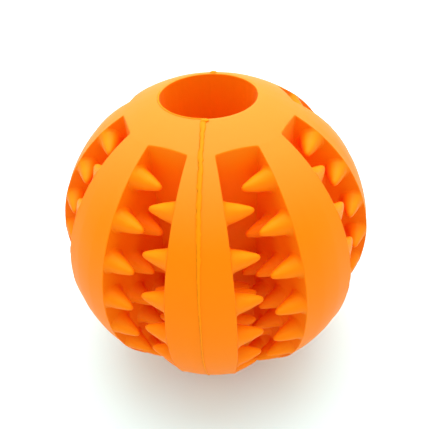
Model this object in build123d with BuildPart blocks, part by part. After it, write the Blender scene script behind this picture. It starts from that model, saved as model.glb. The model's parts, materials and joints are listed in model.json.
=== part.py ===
"""Treat dispensing ball: a chew ball moulded in natural rubber. A treat bore runs through its core,
ribs stand round the core, and rows of chewing teeth line the channels between the ribs.

Millimetres and degrees. The origin is the ball's centre, +Z runs up the bore, and X = 0 is the plane
where the two halves of the mould met, with the front seam rib towards -Y.
"""

import os
from math import asin, atan2, cos, degrees, pi, radians, sin, sqrt

from build123d import *

# Ball, core and treat bore: the core is measured across its flats, which are the channels' floors, and
# a mouth cap reaches a little way down past the core's corners
ball_diameter = 70.0
core_width = 33.3
bore_diameter = 19.2
mouth_land_width = 0.7
cap_edge_height = 0.4

# Ribs: how wide each one is on the core and on the ball's face, at mid height
rib_names = ["front", "front_right", "right", "rear_right", "rear", "rear_left", "left", "front_left"]
seam_ribs = ["front", "rear"]
rib_root_width = 5.95
seam_rib_root_width = 4.9
rib_face_width = 13.4

# Chewing teeth: blunt spikes that stand square on the flanks, in staggered layers from the face inwards
tooth_length = 5.5
tooth_base_diameter = 4.5
tooth_shoulder_diameter = 1.9
tooth_tip_diameter = 1.0
tooth_tip_height = 0.7
tooth_sides = 8
tooth_face_gap = 0.1
tooth_gap = 3.8
tooth_layer_gap = 1.3
tooth_core_gap = 1.1
tooth_layers = 3
long_row_count = 8
short_row_count = 7

# Parting line that the mould left: a low bead down each seam, and a nub of flash where it ends at the mouth
bead_width = 0.6
bead_crest_width = 0.3
bead_height = 0.25
nub_width = 1.2
nub_height = 0.35

# How far a shape that trims another one reaches past it
trim_overrun = 2.0

ball_radius = ball_diameter / 2
bore_radius = bore_diameter / 2
land_radius = bore_radius + mouth_land_width
land_top = sqrt(ball_radius**2 - land_radius**2)
rib_count = len(rib_names)
rib_step = 360 / rib_count
front_angle = -90
floor_lean = radians(rib_step / 2)
floor_reach = core_width / 2
core_corner = floor_reach / cos(floor_lean)
core_top = sqrt(ball_radius**2 - core_corner**2) - cap_edge_height

os.makedirs("parts", exist_ok=True)


def write(piece, name):
    """Label a finished piece and write it to its own file."""
    piece.label = name
    export_step(piece, f"parts/{name}.step")


def rib_angle(index):
    """Direction in which a rib points, counted from the front seam rib."""
    return front_angle + index * rib_step


def flank_ends(name):
    """Root and face ends of a rib's left flank at mid height, for a rib that points along +X."""
    root = (seam_rib_root_width if name in seam_ribs else rib_root_width) / 2
    face = rib_face_width / 2
    root_reach = (floor_reach - root * sin(floor_lean)) / cos(floor_lean)
    return Vector(root_reach, root), Vector(sqrt(ball_radius**2 - face**2), face)


def flank_direction(name):
    """Direction of a rib's left flank from the core to the ball's face, for a rib that points along +X."""
    root, face = flank_ends(name)
    return (face - root).normalized()


# Core: a tube with a flat at each channel and a corner under each rib, between the two mouth caps
with BuildSketch() as core_section:
    RegularPolygon(core_corner, rib_count, rotation=front_angle)
    Circle(bore_radius, mode=Mode.SUBTRACT)

with BuildPart() as treat_tube:
    extrude(core_section.sketch, amount=core_top, both=True)
write(treat_tube.part, "treat_tube")

# Mouth caps: the ends of the core inside the ball, each with a narrow flat land round the mouth
with BuildPart() as top_mouth_cap:
    extrude(core_section.sketch, amount=land_top)
    Sphere(ball_radius, mode=Mode.INTERSECT)
    split(bisect_by=Plane.XY.offset(core_top))
write(top_mouth_cap.part, "top_mouth_cap")

with BuildPart() as bottom_mouth_cap:
    mirror(top_mouth_cap.part, about=Plane.XY)
write(bottom_mouth_cap.part, "bottom_mouth_cap")

# Ribs: slices of the ball between flat flanks, seated on the core's corners
for index, name in enumerate(rib_names):
    root, face = flank_ends(name)
    end = face + flank_direction(name) * trim_overrun
    with BuildPart() as rib:
        with BuildSketch(Plane.XY.rotated((0, 0, rib_angle(index)))):
            with BuildLine():
                left_side = Polyline((core_corner, 0), (root.X, root.Y), (end.X, end.Y), (end.X, 0))
                mirror(left_side, about=Plane.XZ)
            make_face()
        extrude(amount=ball_radius, both=True)
        Sphere(ball_radius, mode=Mode.INTERSECT)
    write(rib.part, f"{name}_rib")


def slope(start_diameter, end_diameter, height):
    """Lean of a spike's flat sides between two of its corner circles."""
    inset = (start_diameter - end_diameter) / 2 * cos(pi / tooth_sides)
    return degrees(atan2(inset, height))


# One chewing tooth: a tapered shank with a blunted tip, standing on the plane Z = 0
shank_height = tooth_length - tooth_tip_height
with BuildPart() as tooth:
    with BuildSketch():
        RegularPolygon(tooth_base_diameter / 2, tooth_sides)
    extrude(amount=shank_height, taper=slope(tooth_base_diameter, tooth_shoulder_diameter, shank_height))
    shoulder = tooth.faces().sort_by(Axis.Z)[-1]
    tip_slope = slope(tooth_shoulder_diameter, tooth_tip_diameter, tooth_tip_height)
    extrude(shoulder, amount=tooth_tip_height, taper=tip_slope)

outer_layer = ball_radius - tooth_face_gap - tooth_base_diameter / 2
layer_step = tooth_base_diameter + tooth_layer_gap
tooth_pitch = tooth_base_diameter + tooth_gap


def tooth_places(name, count):
    """Where a row's teeth stand on a rib's flank, outwards and up from its point nearest the axis.

    Each layer has one place fewer than the layer outside it, so that its teeth stand between those ones,
    and a tooth wherever the tooth clears the core.
    """
    root, _ = flank_ends(name)
    least_reach = root.dot(flank_direction(name)) + tooth_core_gap + tooth_base_diameter / 2
    places = []
    for layer in range(tooth_layers):
        layer_radius = outer_layer - layer * layer_step
        layer_count = count - layer
        pitch_angle = 2 * asin(tooth_pitch / 2 / layer_radius)
        for position in range(layer_count):
            angle = (position - (layer_count - 1) / 2) * pitch_angle
            reach = layer_radius * cos(angle)
            if reach >= least_reach:
                places.append((reach, layer_radius * sin(angle)))
    return places


def flank_plane(index, side):
    """Plane of a rib's left (1) or right (-1) flank, with X outwards along it and Z into the channel."""
    root, _ = flank_ends(rib_names[index])
    outwards = flank_direction(rib_names[index])
    foot = root - outwards * root.dot(outwards)
    x_dir = Vector(outwards.X, side * outwards.Y)
    z_dir = Vector(-outwards.Y, side * outwards.X)
    flank = Plane((foot.X, side * foot.Y), x_dir=x_dir, z_dir=z_dir)
    return Plane(Location((0, 0, 0), (0, 0, rib_angle(index))) * flank.location)


# Tooth rows: in every channel the short row is on the flank nearer the front seam, and its teeth
# point between those of the long row on the other flank
for channel in range(rib_count):
    left_row, right_row = ("short", short_row_count), ("long", long_row_count)
    if channel >= rib_count / 2:
        left_row, right_row = right_row, left_row
    next_rib = (channel + 1) % rib_count
    for index, side, (row_name, count) in [(channel, 1, left_row), (next_rib, -1, right_row)]:
        with BuildPart(flank_plane(index, side)) as row:
            with Locations(*tooth_places(rib_names[index], count)):
                add(tooth.part)
        write(row.part, f"channel_{channel + 1}_{row_name}_tooth_row")

# Parting beads: low ridges over the front and rear seam ribs, which stop short of the rest land's level
bead_crest = ball_radius + bead_height
bead_end = degrees(asin(land_top / bead_crest))
bead_foot = sqrt(ball_radius**2 - (bead_width / 2) ** 2)
with BuildPart() as front_parting_bead:
    with BuildSketch(Plane.XY.rotated((bead_end, 0, 0))):
        with BuildLine():
            foot, crest = bead_width / 2, bead_crest_width / 2
            seat = ThreePointArc((-foot, -bead_foot), (0, -ball_radius), (foot, -bead_foot))
            Polyline(seat @ 0, (-crest, -bead_crest), (crest, -bead_crest), seat @ 1)
        make_face()
    revolve(axis=Axis.X, revolution_arc=-2 * bead_end)
write(front_parting_bead.part, "front_parting_bead")

with BuildPart() as rear_parting_bead:
    mirror(front_parting_bead.part, about=Plane.XZ)
write(rear_parting_bead.part, "rear_parting_bead")

# Flash nubs: where the seams reach the top mouth, on its land
with BuildPart(Plane.XY.offset(land_top)) as mouth_flash_nubs:
    with PolarLocations(bore_radius + mouth_land_width / 2, 2, start_angle=front_angle):
        Box(mouth_land_width, nub_width, nub_height, align=(Align.CENTER, Align.CENTER, Align.MIN))
write(mouth_flash_nubs.part, "mouth_flash_nubs")
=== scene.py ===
"""Treat dispensing ball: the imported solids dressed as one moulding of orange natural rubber.

The frame is the solids' own, in metres: +Z up the treat bore, the front seam rib towards -Y. The core,
the caps and the ribs become one welded skin with rounded edges, and each row of teeth, each parting bead
and the flash at the mouth become pieces that run into that skin.
"""

import json
import logging
import math
from collections.abc import Iterator, Sequence
from dataclasses import dataclass
from enum import Enum

import bmesh
import bpy
from mathutils import Matrix, Vector, noise


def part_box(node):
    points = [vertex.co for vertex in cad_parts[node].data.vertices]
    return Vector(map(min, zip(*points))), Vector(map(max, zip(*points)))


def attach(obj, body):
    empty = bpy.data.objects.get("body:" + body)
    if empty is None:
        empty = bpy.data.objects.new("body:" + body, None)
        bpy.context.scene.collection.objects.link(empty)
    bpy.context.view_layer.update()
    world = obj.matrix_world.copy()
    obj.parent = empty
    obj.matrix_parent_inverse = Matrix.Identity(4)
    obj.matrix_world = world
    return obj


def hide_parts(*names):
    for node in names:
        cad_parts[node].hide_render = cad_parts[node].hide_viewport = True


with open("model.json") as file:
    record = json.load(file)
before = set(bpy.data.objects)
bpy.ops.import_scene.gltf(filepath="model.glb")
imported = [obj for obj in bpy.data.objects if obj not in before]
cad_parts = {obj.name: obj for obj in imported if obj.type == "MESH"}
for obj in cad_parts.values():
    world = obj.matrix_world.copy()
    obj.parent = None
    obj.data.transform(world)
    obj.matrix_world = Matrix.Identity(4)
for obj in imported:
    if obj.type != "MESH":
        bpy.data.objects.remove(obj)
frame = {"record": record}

LOG = logging.getLogger("treat_ball")
MM = 0.001
WELD = 1e-6
BODY = "root"
PAINTED_SHADE = "painted_shade"
PHOTO_WIDTH, PHOTO_HEIGHT = 442, 429


class Row(Enum):
    """The two tooth rows of a channel, by how many teeth stand at the ball's face."""

    SHORT = 7
    LONG = 8


class Side(Enum):
    """The two flanks of a rib, by the turn from its middle towards them."""

    LEFT = 1
    RIGHT = -1


class Seam(Enum):
    """The two parting lines of the mould, by the sign of Y on their side of the ball."""

    FRONT = -1
    REAR = 1


def linear_colour(hex_code: str) -> tuple[float, float, float, float]:
    """Turn an sRGB hex colour into linear values.

    Args:
        hex_code: Six hex digits after a hash sign.

    Returns:
        Linear red, green and blue, with full alpha.
    """
    values = [int(hex_code[start : start + 2], 16) / 255 for start in (1, 3, 5)]
    red, green, blue = (v / 12.92 if v <= 0.04045 else ((v + 0.055) / 1.055) ** 2.4 for v in values)
    return red, green, blue, 1.0


def add_node(
    tree: bpy.types.NodeTree,
    kind: str,
    settings: dict[str, object],
    links: dict[str | int, bpy.types.NodeSocket],
) -> bpy.types.Node:
    """Add a shader node with its settings and links.

    Args:
        tree: The node tree that takes it.
        kind: The node's type name.
        settings: Values by the name of an input, or else of a property of the node.
        links: Output sockets by the name or the position of the input that each one feeds.

    Returns:
        The new node.
    """
    node = tree.nodes.new(kind)
    for name, value in settings.items():
        if name in node.inputs:
            node.inputs[name].default_value = value
        else:
            setattr(node, name, value)
    for name, socket in links.items():
        tree.links.new(socket, node.inputs[name])
    return node


def smooth_step(low: float, high: float, value: float) -> float:
    """Ease from 0 at the low limit to 1 at the high one."""
    share = min(max((value - low) / (high - low), 0.0), 1.0)
    return share * share * (3 - 2 * share)


@dataclass(frozen=True)
class RubberFinish:
    """Orange natural rubber as it leaves a polished mould: satin and milky, with a painted sheen on what
    faces up.

    Channels and bore are clear of both and carry painted shade, a little darker towards the core, for the
    light that goes from wall to wall in them and comes back red.
    """

    name: str
    face_colour: str = "#FF8002"
    milky_colour: str = "#FF8604"
    # Painted sheen: a paler colour on surfaces that face up, where light from above falls
    painted_top_sheen_colour: str = "#FF902E"
    painted_top_sheen_rise: tuple[float, float] = (0.5, 0.95)
    # Painted shade on the walls of channels and bore, darkening towards the core
    wall_shade_colour: str = "#F97E04"
    deep_shade_colour: str = "#F47C02"
    deep_shade_mm: tuple[float, float] = (19.0, 33.0)
    roughness: float = 0.46
    specular_level: float = 0.05
    ior: float = 1.52
    scatter_weight: float = 0.1
    scatter_depth_mm: float = 0.6
    scatter_tint: tuple[float, float, float] = (1.0, 0.6, 0.4)
    sheen_weight: float = 0.03
    sheen_roughness: float = 0.35
    cloud_mm: float = 14.0
    cloud_detail: float = 3.0
    grain_mm: float = 0.9
    grain_detail: float = 4.0
    grain_height_mm: float = 0.012
    grain_strength: float = 0.6

    def material(self) -> bpy.types.Material:
        """Build the rubber's material.

        Returns:
            The material, with its pattern on Object coordinates.
        """
        made = bpy.data.materials.new(self.name)
        made.use_nodes = True
        tree = made.node_tree
        tree.nodes.clear()
        place = add_node(tree, "ShaderNodeTexCoord", {}, {}).outputs["Object"]
        colour = self.paint_shade_in_hollows(tree, place, self.face(tree, place))
        # Fine grain that the mould's steel leaves, drawn coarser than the real one so that it shows
        grain_settings = {"Scale": 1 / (self.grain_mm * MM), "Detail": self.grain_detail}
        grain = add_node(tree, "ShaderNodeTexNoise", grain_settings, {"Vector": place})
        bump_settings = {"Strength": self.grain_strength, "Distance": self.grain_height_mm * MM}
        bump = add_node(tree, "ShaderNodeBump", bump_settings, {"Height": grain.outputs["Fac"]})
        shader = add_node(
            tree,
            "ShaderNodeBsdfPrincipled",
            {
                "Roughness": self.roughness,
                "IOR": self.ior,
                "Specular IOR Level": self.specular_level,
                "Subsurface Weight": self.scatter_weight,
                "Subsurface Radius": self.scatter_tint,
                "Subsurface Scale": self.scatter_depth_mm * MM,
                "Sheen Weight": self.sheen_weight,
                "Sheen Roughness": self.sheen_roughness,
            },
            {"Base Color": colour, "Normal": bump.outputs["Normal"]},
        )
        add_node(tree, "ShaderNodeOutputMaterial", {}, {"Surface": shader.outputs["BSDF"]})
        return made

    def face(self, tree: bpy.types.NodeTree, place: bpy.types.NodeSocket) -> bpy.types.NodeSocket:
        """Slow clouds in the milkiness of the rubber's face, and a painted sheen where it faces up.

        Args:
            tree: The material's nodes.
            place: Where on the ball a point is.

        Returns:
            The colour of the face.
        """
        settings = {"Scale": 1 / (self.cloud_mm * MM), "Detail": self.cloud_detail}
        cloud = add_node(tree, "ShaderNodeTexNoise", settings, {"Vector": place})
        ramp = add_node(tree, "ShaderNodeValToRGB", {}, {"Fac": cloud.outputs["Fac"]})
        ramp.color_ramp.elements[0].color = linear_colour(self.face_colour)
        ramp.color_ramp.elements[1].color = linear_colour(self.milky_colour)
        # Painted sheen, paler where the surface faces up
        facing = add_node(tree, "ShaderNodeTexCoord", {}, {}).outputs["Normal"]
        up = add_node(tree, "ShaderNodeSeparateXYZ", {}, {"Vector": facing}).outputs["Z"]
        low, high = self.painted_top_sheen_rise
        limits = {"From Min": low, "From Max": high, "interpolation_type": "SMOOTHSTEP"}
        rise = add_node(tree, "ShaderNodeMapRange", limits, {"Value": up})
        links = {"Fac": rise.outputs["Result"], "Color1": ramp.outputs["Color"]}
        settings = {"Color2": linear_colour(self.painted_top_sheen_colour)}
        return add_node(tree, "ShaderNodeMixRGB", settings, links).outputs["Color"]

    def paint_shade_in_hollows(
        self, tree: bpy.types.NodeTree, place: bpy.types.NodeSocket, face: bpy.types.NodeSocket
    ) -> bpy.types.NodeSocket:
        """Paint shade in the recesses: clear them of milkiness and the painted sheen, and darken them a
        little towards the core.

        Args:
            tree: The material's nodes.
            place: Where on the ball a point is.
            face: The colour of the ball's face.

        Returns:
            The colour everywhere.
        """
        reach = add_node(tree, "ShaderNodeVectorMath", {"operation": "LENGTH"}, {"Vector": place})
        near, far = self.deep_shade_mm
        limits = {"From Min": near * MM, "From Max": far * MM, "interpolation_type": "SMOOTHSTEP"}
        outer = add_node(tree, "ShaderNodeMapRange", limits, {"Value": reach.outputs["Value"]})
        deep, clear = linear_colour(self.deep_shade_colour), linear_colour(self.wall_shade_colour)
        wall_settings = {"Color1": deep, "Color2": clear}
        wall = add_node(tree, "ShaderNodeMixRGB", wall_settings, {"Fac": outer.outputs["Result"]})
        # Painted shade: where this mask is 1, the darker wall colour replaces the face's
        painted_shade = add_node(tree, "ShaderNodeAttribute", {"attribute_name": PAINTED_SHADE}, {})
        links = {"Fac": painted_shade.outputs["Fac"], "Color1": face, "Color2": wall.outputs["Color"]}
        return add_node(tree, "ShaderNodeMixRGB", {}, links).outputs["Color"]


class Finish(Enum):
    """The ball's finishes: its body, its teeth, and the thin flash that the mould squeezed out.

    The flash is paler than the body, and its wall colour is the brown painted shade in the groove pinched
    beside its crest.
    """

    BODY = RubberFinish("moulded_natural_rubber")
    # The teeth take their own colour of painted sheen on what faces up
    TEETH = RubberFinish("moulded_rubber_teeth", painted_top_sheen_colour="#FF8E08", scatter_weight=0.0)
    FLASH = RubberFinish(
        "thin_rubber_flash",
        face_colour="#FF8A02",
        milky_colour="#FF9002",
        # The flash's own colour of painted sheen on what faces up
        painted_top_sheen_colour="#FF9210",
        # Painted shade in the groove beside the flash's crest
        wall_shade_colour="#B87000",
        scatter_weight=0.0,
        sheen_weight=0.0,
        roughness=0.5,
    )


@dataclass(frozen=True)
class BallShape:
    """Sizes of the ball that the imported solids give, in metres."""

    ball: float
    core_corner: float
    bore: float
    land: float
    land_top: float
    rib_count: int = 8

    @classmethod
    def from_frame(cls) -> "BallShape":
        """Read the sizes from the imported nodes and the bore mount.

        Returns:
            The ball's sizes.
        """
        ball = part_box("right_rib")[1].x
        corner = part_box("treat_tube")[1].x
        land_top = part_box("top_mouth_cap")[1].z
        mounts = {mount["name"]: mount for mount in frame["record"]["mounts"]}
        bore = mounts["treat_bore"]["dims"]["r_mm"] * MM
        return cls(ball, corner, bore, math.sqrt(ball**2 - land_top**2), land_top)

    @property
    def half_step(self) -> float:
        """Angle from a rib's middle to the middle of the channel beside it."""
        return math.pi / self.rib_count

    @property
    def floor_normal(self) -> Vector:
        """Normal of the floor of the channel to the left of a rib along +X."""
        return Vector((math.cos(self.half_step), math.sin(self.half_step), 0.0))

    @property
    def along_floor(self) -> Vector:
        """Direction across that floor, away from the rib."""
        return Vector((-math.sin(self.half_step), math.cos(self.half_step), 0.0))

    @property
    def floor_reach(self) -> float:
        """Distance of a channel's flat floor from the bore's axis."""
        return self.core_corner * math.cos(self.half_step)

    @property
    def land_angle(self) -> float:
        """How far above mid height the mouth's land starts, as an angle at the centre."""
        return math.asin(self.land_top / self.ball)


@dataclass(frozen=True)
class Rib:
    """One rib, by the direction that it points in and the lines where its flanks meet core and face."""

    name: str
    angle: float
    root: Vector
    face: Vector

    @property
    def outwards(self) -> Vector:
        """Direction of the left flank from the core to the ball's face, for a rib along +X."""
        return (self.face - self.root).normalized()

    @property
    def into_channel(self) -> Vector:
        """Normal of the left flank, for a rib along +X."""
        return Vector((-self.outwards.y, self.outwards.x, 0.0))

    @property
    def turn(self) -> Matrix:
        """Turn from +X to the rib's own direction."""
        return Matrix.Rotation(self.angle, 4, "Z")

    def flank(self, side: Side) -> Matrix:
        """Place of a flank in the ball.

        Args:
            side: Which of the rib's two flanks.

        Returns:
            A matrix with X outwards along the flank, Y along the bore and Z into the channel, whose
            origin is the flank's point nearest the bore's axis at mid height.
        """
        foot = self.root - self.outwards * self.root.dot(self.outwards)
        flip = Matrix.Diagonal((1.0, side.value, 1.0, 1.0))
        x_axis, z_axis = flip @ self.outwards, flip @ self.into_channel
        axes = Matrix((x_axis, z_axis.cross(x_axis), z_axis)).transposed().to_4x4()
        return self.turn @ Matrix.Translation(flip @ foot) @ axes


def read_ribs(shape: BallShape) -> list[Rib]:
    """Read the ribs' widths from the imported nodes.

    Args:
        shape: The ball's sizes.

    Returns:
        The ribs in order round the ball, from the front seam rib.
    """
    names = ["front", "front_right", "right", "rear_right", "rear", "rear_left", "left", "front_left"]
    seam_box, plain_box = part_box("front_rib"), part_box("right_rib")
    seam = (-seam_box[1].y, seam_box[1].x)
    plain = (plain_box[0].x, plain_box[1].y)
    ribs = []
    for index, name in enumerate(names):
        root_reach, face_half = seam if name in ("front", "rear") else plain
        root_half = (shape.floor_reach - root_reach * shape.floor_normal.x) / shape.floor_normal.y
        root = Vector((root_reach, root_half, 0.0))
        face = Vector((math.sqrt(shape.ball**2 - face_half**2), face_half, 0.0))
        ribs.append(Rib(name, 2 * shape.half_step * index - math.pi / 2, root, face))
    return ribs


def finish_piece(
    bm: bmesh.types.BMesh, name: str, material: bpy.types.Material, nodes: Sequence[str]
) -> bpy.types.Object:
    """Turn a bmesh into a piece of the ball that stands for some of its nodes.

    Args:
        bm: The finished mesh, in the ball's frame. It is freed.
        name: The piece's name.
        material: Its finish.
        nodes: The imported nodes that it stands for.

    Returns:
        The new object.
    """
    mesh = bpy.data.meshes.new(name)
    for face in bm.faces:
        face.smooth = True
    bm.to_mesh(mesh)
    bm.free()
    mesh.materials.append(material)
    piece = bpy.data.objects.new(name, mesh)
    bpy.context.scene.collection.objects.link(piece)
    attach(piece, BODY)
    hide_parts(*nodes)
    LOG.info("%s: %d faces for %s", name, len(mesh.polygons), ", ".join(nodes))
    return piece


@dataclass(frozen=True)
class ChannelOutline:
    """Half of a channel's plan beside a rib along +X: the flank, the round at its foot, and the floor."""

    shape: BallShape
    rib: Rib
    foot_round: float
    foot_facets: int

    @property
    def foot_centre(self) -> Vector:
        """Centre of the round at the flank's foot."""
        flank, floor = self.rib.into_channel, self.shape.floor_normal
        return self.rib.root + (flank + floor) * self.foot_round / (1 + flank.dot(floor))

    @property
    def foot_start(self) -> Vector:
        """Where the flank runs into that round."""
        return self.foot_centre - self.rib.into_channel * self.foot_round

    def on_flank(self, place: Vector) -> bool:
        """Whether a point beside the wall is past the round, on the flank's side."""
        return (place - self.foot_centre).dot(self.rib.outwards) > WELD

    def on_floor(self, place: Vector) -> bool:
        """Whether a point beside the wall is past the round, on the floor's side."""
        return (place - self.foot_centre).dot(self.shape.along_floor) > WELD

    def cuts(self, margin: float) -> list[tuple[Vector, Vector]]:
        """Upright planes that bound the channel when it is made wider by a margin.

        Args:
            margin: How much wider than the channel itself.

        Returns:
            A point of each plane and its normal into the channel, from the floor to the flank.
        """
        flank, floor = self.rib.into_channel, self.shape.floor_normal
        facet_swing = flank.angle(floor) / self.foot_facets
        reach = (self.foot_round + margin) * math.cos(facet_swing / 2)
        planes = [(self.rib.root - floor * margin, floor)]
        for facet in range(self.foot_facets):
            normal = Matrix.Rotation(facet_swing * (facet + 0.5), 3, "Z") @ floor
            planes.append((self.foot_centre - normal * reach, normal))
        return [*planes, (self.rib.root - flank * margin, flank)]

    def to_rim(self, point: Vector) -> Vector:
        """Move a point on the ball's face beside the channel to the channel's rim.

        Args:
            point: The point, beside the upper half of the channel.

        Returns:
            The place on the rim, level with the point along the flank and above the wall elsewhere.
        """
        ball, flank, floor = self.shape.ball, self.rib.into_channel, self.shape.floor_normal
        place = Vector((point.x, point.y, 0.0))
        if self.on_flank(place):
            inset = self.rib.root.dot(flank)
            reach = math.sqrt(ball**2 - point.z**2 - inset**2)
            return flank * inset + self.rib.outwards * reach + Vector((0.0, 0.0, point.z))
        if self.on_floor(place):
            place += floor * (self.shape.floor_reach - place.dot(floor))
        else:
            place = self.foot_centre + (place - self.foot_centre).normalized() * self.foot_round
        return Vector((place.x, place.y, math.sqrt(ball**2 - place.length_squared)))

    def inside(self, place: Vector) -> float:
        """Measure how far inside the channel a point of the plan is.

        Args:
            place: The point, beside a rib along +X.

        Returns:
            The distance from the channel's wall, less than zero outside the channel.
        """
        if self.on_flank(place) or self.on_floor(place):
            past_flank = (place - self.rib.root).dot(self.rib.into_channel)
            return min(past_flank, place.dot(self.shape.floor_normal) - self.shape.floor_reach)
        return self.foot_round - (place - self.foot_centre).length


@dataclass
class MouldedBody:
    """The skin of the core, the mouth caps and the ribs, with its edges rounded.

    A channel's rim lies between the inner and the outer angle, where one column of faces takes its cut.
    """

    shape: BallShape
    ribs: list[Rib]
    edge_round: float = 0.22 * MM
    mouth_round: float = 0.16 * MM
    foot_round: float = 0.3 * MM
    rim_margin: float = 0.8 * MM
    foot_facets: int = 3
    edge_segments: int = 3
    rib_rows: int = 24
    cap_rows: int = 4
    bore_rows: int = 12
    corner_gap: float = math.radians(2.5)
    inner_angle: float = math.radians(4.5)
    outer_angle: float = math.radians(13.5)
    inner_columns: int = 3
    outer_columns: int = 4
    sharp_angle: float = math.radians(25)

    def build(self, material: bpy.types.Material) -> bpy.types.Object:
        """Weld the rib cells into one skin and round its edges.

        Args:
            material: The rubber.

        Returns:
            The body's object.
        """
        bm = bmesh.new()
        cell_mesh = bpy.data.meshes.new("rib_cell")
        for rib in self.ribs:
            cell = self.rib_cell(self.outline(rib))
            bmesh.ops.transform(cell, matrix=rib.turn, verts=cell.verts)
            cell.to_mesh(cell_mesh)
            cell.free()
            bm.from_mesh(cell_mesh)
        bpy.data.meshes.remove(cell_mesh)
        bmesh.ops.remove_doubles(bm, verts=bm.verts, dist=WELD)
        bmesh.ops.recalc_face_normals(bm, faces=bm.faces)
        self.round_edges(bm, self.edge_round, in_mouth=False)
        self.round_edges(bm, self.mouth_round, in_mouth=True)
        self.mark_recesses(bm)
        rib_nodes = [f"{rib.name}_rib" for rib in self.ribs]
        nodes = ["treat_tube", "top_mouth_cap", "bottom_mouth_cap", *rib_nodes]
        piece = finish_piece(bm, "moulded_body", material, nodes)
        piece.modifiers.new("even_normals", "WEIGHTED_NORMAL")
        return piece

    def outline(self, rib: Rib) -> ChannelOutline:
        """Outline of the channel to the left of a rib."""
        return ChannelOutline(self.shape, rib, self.foot_round, self.foot_facets)

    def rib_cell(self, outline: ChannelOutline) -> bmesh.types.BMesh:
        """Build the skin of a rib and half the channel on each side of it, for a rib along +X.

        Args:
            outline: The channel to the left of the rib.

        Returns:
            The open skin, from the middle of one channel to the middle of the next.
        """
        bm = bmesh.new()
        self.spin_section(bm)
        rim = self.open_channel(bm, outline)
        self.draw_walls(bm, outline, rim)
        for axis in ("Y", "Z"):
            whole = [*bm.verts, *bm.edges, *bm.faces]
            bmesh.ops.mirror(bm, geom=whole, matrix=Matrix(), merge_dist=WELD, axis=axis)
        return bm

    def spin_section(self, bm: bmesh.types.BMesh) -> None:
        """Spin the upper half of the ball's section from the rib's middle to the channel's.

        Args:
            bm: The empty mesh that takes it.
        """
        shape = self.shape
        # The section: up the ball's face, in across the mouth's land, and down the bore to mid height
        last: list = [bm.verts.new((shape.ball, 0.0, 0.0))]
        corner_angle = math.acos(shape.core_corner / shape.ball) - self.corner_gap
        cap_angle = shape.land_angle - corner_angle
        for angle, rows in [(corner_angle, self.rib_rows), (cap_angle, self.cap_rows)]:
            spun = bmesh.ops.spin(bm, geom=last, axis=(0, -1, 0), cent=(0, 0, 0), angle=angle, steps=rows)
            last = [item for item in spun["geom_last"] if isinstance(item, bmesh.types.BMVert)]
        drop = Vector((0.0, 0.0, -shape.land_top / self.bore_rows))
        for move in [Vector((shape.bore - shape.land, 0.0, 0.0)), *[drop] * self.bore_rows]:
            last = bmesh.ops.extrude_vert_indiv(bm, verts=last)["verts"]
            bmesh.ops.translate(bm, verts=last, vec=move)
        turns = [
            (self.inner_angle, self.inner_columns),
            (self.outer_angle - self.inner_angle, 1),
            (shape.half_step - self.outer_angle, self.outer_columns),
        ]
        last = [*bm.verts, *bm.edges]
        for angle, columns in turns:
            spun = bmesh.ops.spin(
                bm, geom=last, axis=(0, 0, 1), cent=(0, 0, 0), angle=angle, steps=columns
            )
            last = spun["geom_last"]

    def open_channel(self, bm: bmesh.types.BMesh, outline: ChannelOutline) -> list[bmesh.types.BMEdge]:
        """Cut the ball's face open a margin wide of the channel, and draw it in again to the rim.

        Args:
            bm: The ball's section, spun.
            outline: The channel.

        Returns:
            The edges of the rim.
        """
        on_ball = self.shape.ball - self.edge_round
        over = [face for face in bm.faces if face.calc_center_median().length > on_ball]
        for point, normal in outline.cuts(self.rim_margin):
            region = {item for face in over for item in (face, *face.verts, *face.edges)}
            cut = bmesh.ops.bisect_plane(bm, geom=list(region), dist=WELD, plane_co=point, plane_no=normal)
            pieces = {item for item in cut["geom"] if isinstance(item, bmesh.types.BMFace)}
            over = [face for face in pieces if (face.calc_center_median() - point).dot(normal) > 0]
        region = set(over)
        edges = {edge for face in over for edge in face.edges}
        open_edges = [edge for edge in edges if not region.issuperset(edge.link_faces)]
        bmesh.ops.delete(bm, geom=over, context="FACES")
        verts, rim = self.extrude(bm, open_edges)
        for vert in verts:
            vert.co = outline.to_rim(vert.co)
        return rim

    @staticmethod
    def extrude(
        bm: bmesh.types.BMesh, edges: list[bmesh.types.BMEdge]
    ) -> tuple[set[bmesh.types.BMVert], list[bmesh.types.BMEdge]]:
        """Extrude edges in place.

        Args:
            bm: The mesh that holds them.
            edges: The edges.

        Returns:
            The new vertices, and the new edges that run along them.
        """
        made = bmesh.ops.extrude_edge_only(bm, edges=edges)["geom"]
        verts = {item for item in made if isinstance(item, bmesh.types.BMVert)}
        lines = (item for item in made if isinstance(item, bmesh.types.BMEdge))
        return verts, [line for line in lines if verts.issuperset(line.verts)]

    def draw_walls(
        self, bm: bmesh.types.BMesh, outline: ChannelOutline, rim: Sequence[bmesh.types.BMEdge]
    ) -> None:
        """Extrude the rim level with itself along the flank, and straight down over foot and floor.

        Args:
            bm: The ball's face, open over the channel.
            outline: The channel.
            rim: The edges of the channel's rim.
        """

        def past_round(vert: bmesh.types.BMVert) -> bool:
            """Whether a vertex of the rim is at the flank."""
            return outline.on_flank(Vector((vert.co.x, vert.co.y, 0.0)))

        flank_rim = [edge for edge in rim if any(past_round(vert) for vert in edge.verts)]
        flank_verts = {vert for edge in flank_rim for vert in edge.verts if past_round(vert)}
        levels = sorted((vert.co.z for vert in flank_verts), reverse=True)
        foot_verts, _ = self.extrude(bm, flank_rim)
        for vert in foot_verts:
            vert.co.xy = outline.foot_start.xy
        last = [edge for edge in rim if edge not in flank_rim]
        for level in levels:
            verts, last = self.extrude(bm, last)
            for vert in verts:
                vert.co.z = level
        bmesh.ops.remove_doubles(bm, verts=bm.verts, dist=WELD)

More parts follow.
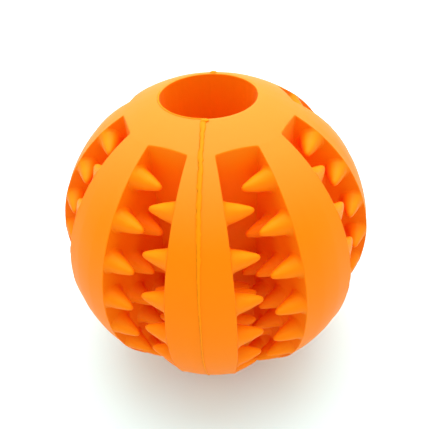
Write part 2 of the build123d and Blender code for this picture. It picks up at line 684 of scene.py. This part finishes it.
    def round_edges(self, bm: bmesh.types.BMesh, radius: float, in_mouth: bool) -> None:
        """Bevel the sharp outer edges, either those of the ribs and channels or those of the mouths.

        Args:
            bm: The whole skin.
            radius: How round the edges become.
            in_mouth: Whether the mouths' edges are meant.
        """

        def chosen(edge: bmesh.types.BMEdge) -> bool:
            """Tell whether an edge is sharp, stands out and is in the wanted place.

            Args:
                edge: The edge.

            Returns:
                Whether it is to be rounded.
            """
            middle = (edge.verts[0].co + edge.verts[1].co) / 2
            mouth_edge = middle.xy.length < (self.shape.land + self.shape.core_corner) / 2
            if not edge.is_manifold or mouth_edge != in_mouth:
                return False
            return edge.calc_face_angle_signed() > self.sharp_angle

        sharp = [edge for edge in bm.edges if chosen(edge)]
        bmesh.ops.bevel(
            bm,
            geom=sharp,
            offset=radius,
            offset_type="OFFSET",
            segments=self.edge_segments,
            profile=0.5,
            affect="EDGES",
            clamp_overlap=True,
            material=-1,
        )

    def mark_recesses(self, bm: bmesh.types.BMesh) -> None:
        """Note on each vertex whether it is in a channel or in the bore, where the rubber takes painted
        shade.

        Args:
            bm: The whole skin.
        """
        painted_shade = bm.verts.layers.float.new(PAINTED_SHADE)
        outlines = [(self.outline(rib), rib.turn.inverted()) for rib in self.ribs]
        for vert in bm.verts:
            turned = math.atan2(vert.co.y, vert.co.x) - self.ribs[0].angle
            outline, unturn = outlines[round(turned / (2 * self.shape.half_step)) % len(outlines)]
            local = unturn @ vert.co
            place = Vector((local.x, abs(local.y), 0.0))
            in_channel = smooth_step(-self.edge_round / 2, 0.0, outline.inside(place))
            in_bore = 1 - smooth_step(self.shape.bore, self.shape.bore + self.mouth_round, place.length)
            vert[painted_shade] = max(in_channel, in_bore)


@dataclass
class ToothRow:
    """One row of chewing teeth on a rib's flank: blunt spikes that flare into the flank and the face."""

    shape: BallShape
    rib: Rib
    side: Side
    row: Row
    channel: int
    length: float = 5.5 * MM
    base_radius: float = 2.25 * MM
    face_gap: float = 0.1 * MM
    tooth_gap: float = 3.8 * MM
    layer_gap: float = 1.3 * MM
    core_gap: float = 1.1 * MM
    skin_depth: float = 0.015 * MM
    layers: int = 3
    sides: int = 12
    outline_shares: tuple[tuple[float, float], ...] = (
        (-0.012, 1.27),
        (0.03, 1.05),
        (0.105, 0.93),
        (0.5, 0.655),
        (0.86, 0.335),
        (0.965, 0.18),
        (1.0, 0.0),
    )
    # How high the painted shade reaches up a tooth's foot, and the depths over which deep teeth take it
    foot_shade_share: float = 0.2
    painted_shade_depth: tuple[float, float] = (3.0 * MM, 9.0 * MM)

    def build(self, material: bpy.types.Material) -> bpy.types.Object:
        """Set the teeth on their flank.

        Args:
            material: The rubber.

        Returns:
            The row's object.
        """
        tooth_mesh = bpy.data.meshes.new("tooth")
        tooth = self.tooth()
        tooth.to_mesh(tooth_mesh)
        tooth.free()
        bm = bmesh.new()
        flank = self.rib.flank(self.side)
        for place in self.places():
            before = len(bm.verts)
            bm.from_mesh(tooth_mesh)
            bm.verts.ensure_lookup_table()
            bmesh.ops.transform(bm, matrix=flank @ Matrix.Translation(place), verts=bm.verts[before:])
        bpy.data.meshes.remove(tooth_mesh)
        self.meet_ball(bm)
        name = f"channel_{self.channel}_{self.row.name.lower()}"
        return finish_piece(bm, f"{name}_teeth", material, [f"{name}_tooth_row"])

    def tooth(self) -> bmesh.types.BMesh:
        """Spin one tooth on the plane Z = 0, its base a little below that and its foot given the flank's
        painted shade.

        Returns:
            The closed tooth.
        """
        bm = bmesh.new()
        painted_shade = bm.verts.layers.float.new(PAINTED_SHADE)
        chain = []
        for height, radius in self.outline_shares:
            chain.append(bm.verts.new((radius * self.base_radius, 0.0, height * self.length)))
        for vert in chain:
            # Painted shade at the tooth's foot, fading out up the tooth
            vert[painted_shade] = 1 - smooth_step(0.0, self.foot_shade_share * self.length, vert.co.z)
        edges = [bm.edges.new(pair) for pair in zip(chain, chain[1:])]
        bmesh.ops.spin(
            bm,
            geom=[*chain, *edges],
            axis=(0, 0, 1),
            cent=(0, 0, 0),
            angle=2 * math.pi,
            steps=self.sides,
            use_merge=True,
        )
        bmesh.ops.remove_doubles(bm, verts=bm.verts, dist=WELD)
        rim = [edge for edge in bm.edges if edge.is_boundary]
        bmesh.ops.holes_fill(bm, edges=rim)
        # The base is buried in the rib, and a smooth rim would bend the shading of the foot towards it
        for edge in rim:
            edge.smooth = False
        bmesh.ops.recalc_face_normals(bm, faces=bm.faces)
        return bm

    def places(self) -> Iterator[Vector]:
        """Find where the teeth stand, in staggered layers from the ball's face inwards.

        Yields:
            The middle of each tooth's base on the flank.
        """
        first = self.shape.ball - self.face_gap - self.base_radius
        least_reach = self.rib.root.dot(self.rib.outwards) + self.core_gap + self.base_radius
        for layer in range(self.layers):
            radius = first - layer * (2 * self.base_radius + self.layer_gap)
            count = self.row.value - layer
            pitch = 2 * math.asin((self.base_radius + self.tooth_gap / 2) / radius)
            for position in range(count):
                angle = (position - (count - 1) / 2) * pitch
                if radius * math.cos(angle) >= least_reach:
                    yield Vector((radius * math.cos(angle), radius * math.sin(angle), 0.0))

    def meet_ball(self, bm: bmesh.types.BMesh) -> None:
        """Bring the teeth at the ball's face flush with it, and paint shade on those deep in the channel,
        as on its walls.

        Args:
            bm: The row's teeth in the ball's frame.
        """
        painted_shade = bm.verts.layers.float[PAINTED_SHADE]
        limit = self.shape.ball - self.skin_depth
        for vert in bm.verts:
            if vert.co.length > limit:
                vert.co *= limit / vert.co.length
                vert[painted_shade] = 0.0
            # Painted shade on teeth deep in the channel
            depth = self.shape.ball - vert.co.length
            vert[painted_shade] = max(vert[painted_shade], smooth_step(*self.painted_shade_depth, depth))


@dataclass
class FlashStrip:
    """A thin strip of flash that is spun round an axis and then torn along its length.

    Its outline is in shares: across, of half its width, up, of its height over the rubber, and how much
    painted shade each point takes in the pinched groove beside the crest.
    """

    outline_shares: tuple[tuple[float, float, float], ...] = (
        (-1.0, -1.0, 0.6),
        (-0.95, 0.3, 0.8),
        (-0.72, 0.12, 1.0),
        (-0.5, 0.95, 0.1),
        (0.4, 1.0, 0.0),
        (0.8, 0.6, 0.2),
        (1.0, -1.0, 0.7),
    )
    tear_mm: float = 0.8
    fine_tear: float = 2.3
    fine_share: float = 0.5
    seed: float = 0.0

    def ragged(self, along: float, lane: float) -> float:
        """How much the strip is torn at a place along it.

        Args:
            along: Distance along the strip, in metres.
            lane: A number of its own for each edge of the strip.

        Returns:
            A value from about -1 to 1, the same on every run.
        """
        at = along / (self.tear_mm * MM)
        coarse = noise.noise((at, lane, self.seed))
        return coarse + self.fine_share * noise.noise((self.fine_tear * at, -lane, self.seed))

    def section(
        self, bm: bmesh.types.BMesh, origin: Vector, across: Vector, up: Vector
    ) -> list[bmesh.types.BMVert | bmesh.types.BMEdge]:
        """Draw the strip's outline at a size of one millimetre for each whole share.

        Args:
            bm: The mesh that takes it.
            origin: Its middle, on the rubber.
            across: Direction of its width.
            up: Direction of its height.

        Returns:
            The outline's vertices and edges.
        """
        painted_shade = bm.verts.layers.float.new(PAINTED_SHADE)
        ring = []
        for u, h, groove_shade in self.outline_shares:
            ring.append(bm.verts.new(origin + (across * u + up * h) * MM))
            # Painted shade in the groove beside the crest
            ring[-1][painted_shade] = groove_shade
        return [*ring, *(bm.edges.new(pair) for pair in zip(ring, [*ring[1:], ring[0]]))]


@dataclass
class PartingBead:
    """The bead of flash down one seam, wide and torn near the top mouth and fine below."""

    shape: BallShape
    seam: Seam
    strip: FlashStrip
    steps: int = 180
    fine_half_width: float = 0.24 * MM
    torn_half_width: float = 0.5 * MM
    fine_height: float = 0.13 * MM
    torn_height: float = 0.2 * MM
    wander: float = 0.1 * MM
    wander_length: float = 9.0 * MM
    torn_from: float = math.radians(8)
    torn_to: float = math.radians(48)
    fine_tears: float = 0.12
    torn_tears: float = 0.34
    height_tears: float = 0.3
    height_limit_share: float = 1.2
    groove_shade_shares: tuple[float, float] = (0.65, 1.5)
    fine_groove_shade: float = 0.5
    edge_lane: float = 1.5
    crest_lane: float = 4.0

    def build(self, material: bpy.types.Material) -> bpy.types.Object:
        """Spin the bead over its seam rib and tear it.

        Args:
            material: The thin rubber.

        Returns:
            The bead's object.
        """
        top = self.shape.land_angle
        low = math.asin(self.shape.land_top / (self.shape.ball + self.fine_height))
        facing = Vector((0.0, self.seam.value * math.cos(top), math.sin(top)))
        bm = bmesh.new()
        outline = self.strip.section(bm, facing * self.shape.ball, Vector((1.0, 0.0, 0.0)), facing)
        axis = (-self.seam.value, 0, 0)
        bmesh.ops.spin(bm, geom=outline, axis=axis, cent=(0, 0, 0), angle=top + low, steps=self.steps)
        bmesh.ops.holes_fill(bm, edges=[edge for edge in bm.edges if edge.is_boundary])
        bmesh.ops.recalc_face_normals(bm, faces=bm.faces)
        painted_shade = bm.verts.layers.float[PAINTED_SHADE]
        # The tear leaves the groove's painted shade only here and there
        for vert in bm.verts:
            vert[painted_shade] *= self.tear(vert)
        name = self.seam.name.lower()
        return finish_piece(bm, f"{name}_seam_flash", material, [f"{name}_parting_bead"])

    def tear(self, vert: bmesh.types.BMVert) -> float:
        """Move one vertex of the plain strip to its place on the torn one.

        Args:
            vert: The vertex.

        Returns:
            How much of the painted shade in the groove beside the crest is left there.
        """
        reach = vert.co.yz.length
        latitude = math.atan2(vert.co.z, self.seam.value * vert.co.y)
        across, up = vert.co.x / MM, (reach - self.shape.ball) / MM
        torn = smooth_step(self.torn_from, self.torn_to, latitude)
        along = latitude * self.shape.ball
        edge = self.strip.ragged(along, math.copysign(self.edge_lane, across))
        width = self.fine_half_width + (self.torn_half_width - self.fine_half_width) * torn
        width *= 1 + (self.fine_tears + self.torn_tears * torn) * edge
        height = self.fine_height + (self.torn_height - self.fine_height) * torn
        height *= 1 + self.height_tears * self.strip.ragged(along, self.crest_lane)
        sideways = self.wander * noise.noise((along / self.wander_length, self.strip.seed, 0.0))
        new_reach = self.shape.ball + min(up * height, self.torn_height * self.height_limit_share)
        vert.co = Vector((sideways + across * width, *(vert.co.yz * new_reach / reach)))
        # Painted shade in the groove, stronger where the strip is torn
        least, swing = self.groove_shade_shares
        depth = self.fine_groove_shade + (1 - self.fine_groove_shade) * torn
        return min(max(least - swing * edge, 0.0), 1.0) * depth


@dataclass
class MouthFlash:
    """The flash at the top mouth: a lip on the land in one half of the mould, and a nub at each seam."""

    shape: BallShape
    strip: FlashStrip
    lip_sweep: float = math.radians(100)
    lip_steps: int = 70
    lip_half_width: float = 0.22 * MM
    lip_height: float = 0.15 * MM
    lip_full_share: float = 0.55
    lip_end_share: float = 0.06
    lip_tears: float = 0.25
    edge_lane: float = 2.5
    crest_lane: float = 6.0
    nub_size: tuple[float, float, float] = (0.8 * MM, 0.5 * MM, 0.3 * MM)
    nub_aside: float = 0.2 * MM
    nub_divisions: int = 3
    nub_lumps: float = 0.22
    nub_lump_scale: float = 1.7

    def build(self, material: bpy.types.Material) -> bpy.types.Object:
        """Build the lip and both nubs as one piece.

        Args:
            material: The thin rubber.

        Returns:
            The piece's object.
        """
        bm = bmesh.new()
        self.add_lip(bm)
        for seam in Seam:
            self.add_nub(bm, seam)
        bmesh.ops.recalc_face_normals(bm, faces=bm.faces)
        return finish_piece(bm, "mouth_flash", material, ["mouth_flash_nubs"])

    def add_lip(self, bm: bmesh.types.BMesh) -> None:
        """Spin the lip from the front seam round the left of the mouth, thinning out towards its end.

        Args:
            bm: The empty mesh that takes it.
        """
        middle = self.shape.bore + self.lip_half_width
        origin = Vector((0.0, -middle, self.shape.land_top))
        # The lip's outline carries the painted shade of its groove
        outline = self.strip.section(bm, origin, Vector((0.0, 1.0, 0.0)), Vector((0.0, 0.0, 1.0)))
        bmesh.ops.spin(
            bm, geom=outline, axis=(0, 0, -1), cent=(0, 0, 0), angle=self.lip_sweep, steps=self.lip_steps
        )
        bmesh.ops.holes_fill(bm, edges=[edge for edge in bm.edges if edge.is_boundary])
        for vert in bm.verts:
            reach = vert.co.xy.length
            turned = math.atan2(-vert.co.x, -vert.co.y)
            across, up = (reach - middle) / MM, (vert.co.z - self.shape.land_top) / MM
            thinned = smooth_step(self.lip_full_share * self.lip_sweep, self.lip_sweep, turned)
            fade = 1 - thinned * (1 - self.lip_end_share)
            along = turned * middle
            edge = self.strip.ragged(along, math.copysign(self.edge_lane, across))
            crest = self.strip.ragged(along, self.crest_lane)
            width = self.lip_half_width * (1 + self.lip_tears * edge)
            height = self.lip_height * fade * (1 + self.lip_tears * crest)
            new_reach = max(middle + across * width, self.shape.bore)
            vert.co.xy *= new_reach / reach
            vert.co.z = self.shape.land_top + up * height

    def add_nub(self, bm: bmesh.types.BMesh, seam: Seam) -> None:
        """Set a lump of flash on the land at one seam.

        Args:
            bm: The mesh that takes it.
            seam: The seam whose end it covers.
        """
        made = bmesh.ops.create_icosphere(bm, subdivisions=self.nub_divisions, radius=1.0)["verts"]
        for vert in made:
            at = vert.co * self.nub_lump_scale + Vector((seam.value * self.crest_lane, 0.0, 0.0))
            vert.co *= 1 + self.nub_lumps * noise.noise(at)
        bmesh.ops.scale(bm, vec=self.nub_size, verts=made)
        place = (self.nub_aside, seam.value * self.shape.land, self.shape.land_top)
        bmesh.ops.translate(bm, vec=place, verts=made)


@dataclass(frozen=True)
class Studio:
    """Pale floor, soft light and the camera of the photograph, with lengths in ball radii."""

    shape: BallShape
    floor_colour: str = "#DEEEEE"
    floor_reach: float = 60.0
    camera_lift: tuple[float, float, float] = (0.02, 0.09, 0.07)
    far_lift: tuple[float, float, float] = (0.2, 0.2, 0.2)
    fade: tuple[float, float] = (3.0, 7.0)
    sky_axis: tuple[float, float, float] = (0.0, 0.5, 1.0)
    sky_from: float = -0.2
    low_strength: float = 0.7
    high_strength: float = 1.5
    lamp_share: float = 0.8
    lamp_direction: tuple[float, float, float] = (0.0, 0.3, 1.0)
    lamp_distance: float = 10.0
    lamp_width: float = 10.0
    wall_bounces: int = 12
    azimuth: float = math.radians(6.0959)
    elevation: float = math.radians(41.2226)
    roll: float = math.radians(-3.0862)
    distance: float = 3.2
    focal_px: float = 460.9
    centre_px: tuple[float, float] = (215.26, 223.22)
    clip_start: float = 0.1
    sensor_mm: float = 36.0

    def build(self) -> None:
        """Set up the camera, the floor and the light."""
        self.add_camera()
        self.add_floor()
        self.add_light()

    def add_camera(self) -> None:
        """Stand the camera where the photograph was taken from."""
        lens = bpy.data.cameras.new("photo_camera")
        lens.sensor_width = self.sensor_mm
        lens.lens = self.focal_px / PHOTO_WIDTH * self.sensor_mm
        lens.shift_x = (PHOTO_WIDTH / 2 - self.centre_px[0]) / PHOTO_WIDTH
        lens.shift_y = (self.centre_px[1] - PHOTO_HEIGHT / 2) / PHOTO_WIDTH
        lens.clip_start = self.clip_start * self.shape.ball
        right = Vector((math.cos(self.azimuth), math.sin(self.azimuth), 0.0))
        front = Vector((right.y, -right.x, 0.0))
        back = front * math.cos(self.elevation) + Vector((0.0, 0.0, math.sin(self.elevation)))
        axes = Matrix((right, back.cross(right), back)).transposed().to_4x4()
        place = Matrix.Translation(back * self.distance * self.shape.ball)
        camera = bpy.data.objects.new("photo_camera", lens)
        camera.matrix_world = place @ axes @ Matrix.Rotation(self.roll, 4, "Z")
        bpy.context.scene.collection.objects.link(camera)
        bpy.context.scene.camera = camera

    def add_floor(self) -> None:
        """Lay the floor under the ball."""
        mesh = bpy.data.meshes.new("floor")
        bm = bmesh.new()
        bmesh.ops.create_grid(bm, x_segments=1, y_segments=1, size=self.floor_reach * self.shape.ball)
        bmesh.ops.translate(bm, verts=bm.verts, vec=(0.0, 0.0, -self.shape.land_top))
        bm.to_mesh(mesh)
        bm.free()
        mesh.materials.append(self.card())
        floor = bpy.data.objects.new("floor", mesh)
        bpy.context.scene.collection.objects.link(floor)

    def card(self) -> bpy.types.Material:
        """Build the matt card of the floor, which is white to the camera where nothing shades it.

        Returns:
            The material, which goes over into the white of the room far from the ball.
        """
        made = bpy.data.materials.new("matt_white_card")
        made.use_nodes = True
        tree = made.node_tree
        tree.nodes.clear()
        matt = add_node(tree, "ShaderNodeBsdfDiffuse", {"Color": linear_colour(self.floor_colour)}, {})
        place = add_node(tree, "ShaderNodeTexCoord", {}, {}).outputs["Object"]
        reach = add_node(tree, "ShaderNodeVectorMath", {"operation": "LENGTH"}, {"Vector": place})
        near, far = (radii * self.shape.ball for radii in self.fade)
        limits = {"From Min": near, "From Max": far}
        fade = add_node(tree, "ShaderNodeMapRange", limits, {"Value": reach.outputs["Value"]})
        lift_settings = {"Color1": (*self.camera_lift, 1.0), "Color2": (*self.far_lift, 1.0)}
        white = add_node(tree, "ShaderNodeMixRGB", lift_settings, {"Fac": fade.outputs["Result"]})
        lift_links = {"Color": white.outputs["Color"], "Strength": self.seen(tree)}
        lift = add_node(tree, "ShaderNodeEmission", {}, lift_links)
        shaders = {0: matt.outputs["BSDF"], 1: lift.outputs["Emission"]}
        both = add_node(tree, "ShaderNodeAddShader", {}, shaders)
        add_node(tree, "ShaderNodeOutputMaterial", {}, {"Surface": both.outputs["Shader"]})
        return made

    def seen(self, tree: bpy.types.NodeTree) -> bpy.types.NodeSocket:
        """Add nodes that tell whether the camera sees a thing, straight, in gloss or through glass.

        Args:
            tree: The nodes of the floor or of the world.

        Returns:
            A value of 1 where the camera sees it, and 0 where it only lights other things.
        """
        path = add_node(tree, "ShaderNodeLightPath", {}, {}).outputs
        seen = path["Is Camera Ray"]
        for other in (path["Is Glossy Ray"], path["Is Transmission Ray"]):
            either = add_node(tree, "ShaderNodeMath", {"operation": "MAXIMUM"}, {0: seen, 1: other})
            seen = either.outputs["Value"]
        return seen

    def add_light(self) -> None:
        """Hang a wide soft lamp over the ball, in a room brighter above and behind than in front."""
        world = bpy.data.worlds.new("studio")
        bpy.context.scene.world = world
        world.use_nodes = True
        tree = world.node_tree
        tree.nodes.clear()
        way = add_node(tree, "ShaderNodeTexCoord", {}, {}).outputs["Generated"]
        towards = add_node(tree, "ShaderNodeVectorMath", {"operation": "DOT_PRODUCT"}, {0: way})
        towards.inputs[1].default_value = Vector(self.sky_axis).normalized()
        limits = {"From Min": self.sky_from, "To Min": self.low_strength, "To Max": self.high_strength}
        level = add_node(tree, "ShaderNodeMapRange", limits, {"Value": towards.outputs["Value"]})
        links = {"Value": self.seen(tree), "To Min": level.outputs["Result"]}
        strength = add_node(tree, "ShaderNodeMapRange", {"To Max": 1.0}, links)
        glow_settings = {"Color": (1.0, 1.0, 1.0, 1.0)}
        glow_links = {"Strength": strength.outputs["Result"]}
        glow = add_node(tree, "ShaderNodeBackground", glow_settings, glow_links)
        add_node(tree, "ShaderNodeOutputWorld", {}, {"Surface": glow.outputs["Background"]})
        reach = self.lamp_distance * self.shape.ball
        lamp = bpy.data.lights.new("overhead", "AREA")
        lamp.size = self.lamp_width * self.shape.ball
        # A small lamp of this power would light a white card at the ball to this share of white
        lamp.energy = self.lamp_share * math.pi**2 * reach**2
        hung = bpy.data.objects.new("overhead", lamp)
        hung.location = Vector(self.lamp_direction).normalized() * reach
        hung.rotation_euler = Vector(self.lamp_direction).to_track_quat("Z", "Y").to_euler()
        bpy.context.scene.collection.objects.link(hung)
        # In the channels and the bore red light goes from wall to wall many times before it comes out
        bpy.context.scene.cycles.diffuse_bounces = self.wall_bounces


def build_teeth(shape: BallShape, ribs: list[Rib], material: bpy.types.Material) -> None:
    """Set both rows of teeth in every channel, the short row on the flank nearer the front seam.

    Args:
        shape: The ball's sizes.
        ribs: The ribs in order round the ball, from the front seam rib.
        material: The teeth's rubber.
    """
    for index, rib in enumerate(ribs):
        following = ribs[(index + 1) % len(ribs)]
        rows = (Row.SHORT, Row.LONG) if index < len(ribs) / 2 else (Row.LONG, Row.SHORT)
        ToothRow(shape, rib, Side.LEFT, rows[0], index + 1).build(material)
        ToothRow(shape, following, Side.RIGHT, rows[1], index + 1).build(material)


def main() -> None:
    """Build the ball and its studio."""
    logging.basicConfig(level=logging.INFO, format="%(name)s %(message)s")
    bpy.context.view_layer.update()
    shape = BallShape.from_frame()
    ribs = read_ribs(shape)
    rubber, tooth_rubber, thin_rubber = (finish.value.material() for finish in Finish)
    MouldedBody(shape, ribs).build(rubber)
    build_teeth(shape, ribs, tooth_rubber)
    PartingBead(shape, Seam.FRONT, FlashStrip(seed=0.0)).build(thin_rubber)
    PartingBead(shape, Seam.REAR, FlashStrip(seed=20.0)).build(thin_rubber)
    MouthFlash(shape, FlashStrip(seed=40.0)).build(thin_rubber)
    Studio(shape).build()
    bpy.context.scene.view_settings.view_transform = "Standard"


if __name__ == "__main__":
    main()
